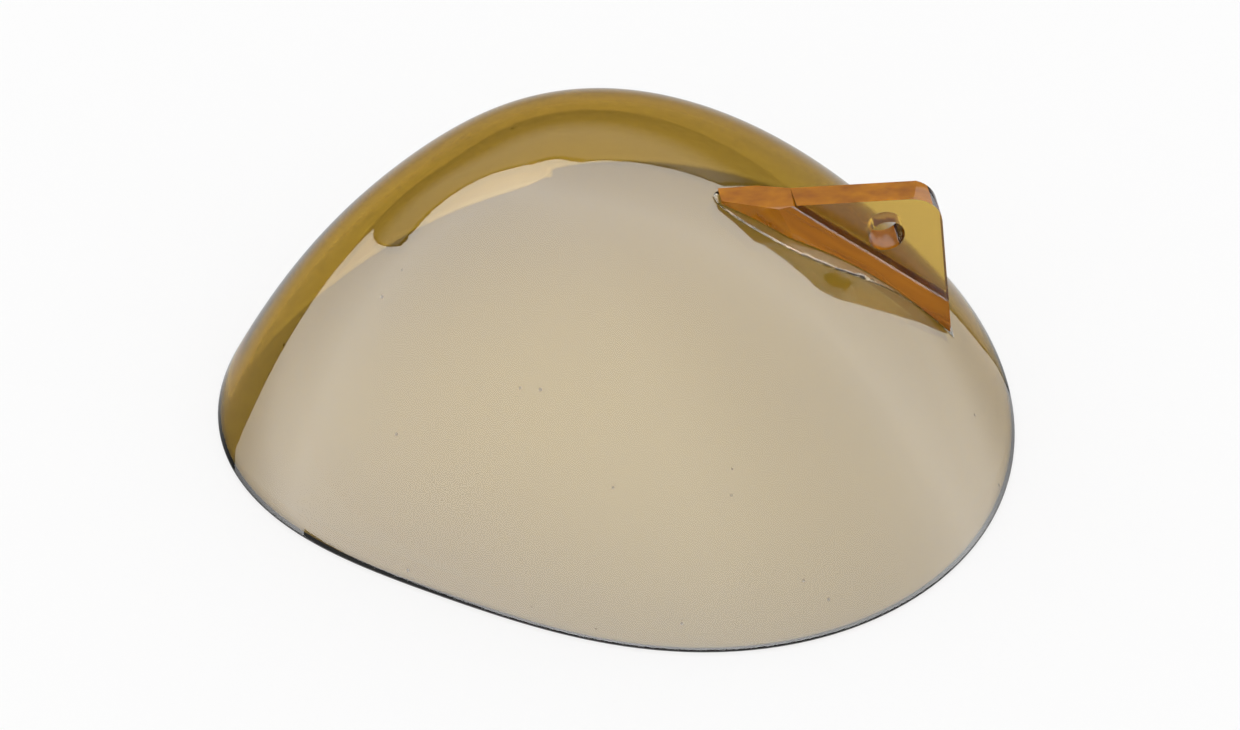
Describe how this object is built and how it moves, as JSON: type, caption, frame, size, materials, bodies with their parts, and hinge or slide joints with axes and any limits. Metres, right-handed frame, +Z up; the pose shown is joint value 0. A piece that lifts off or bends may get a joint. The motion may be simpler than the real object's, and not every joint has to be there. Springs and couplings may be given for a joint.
{
  "type": "surgical eye shield",
  "caption": "Clear amber domed eye shield with a smooth rounded rim and a small upright grip tab, pierced for a thread, bonded to the outside of the dome.",
  "frame": {"origin": "middle of the rim's outline, on the plane that the rim rests on", "axes": "+X along the grip tab, away from the crown; +Z up, out of the dome; the hollow side faces -Z"},
  "size_m": [0.0264, 0.0257, 0.0103],
  "materials": {
    "shell": "clear, polished, amber tint",
    "tab": "clear, milled and lightly polished, amber tint",
    "cement": "clear"
  },
  "bodies": {
    "root": {"scleral_shell": "shell", "handle_tab": "tab", "cement_bed": "cement"}
  },
  "joints": []
}
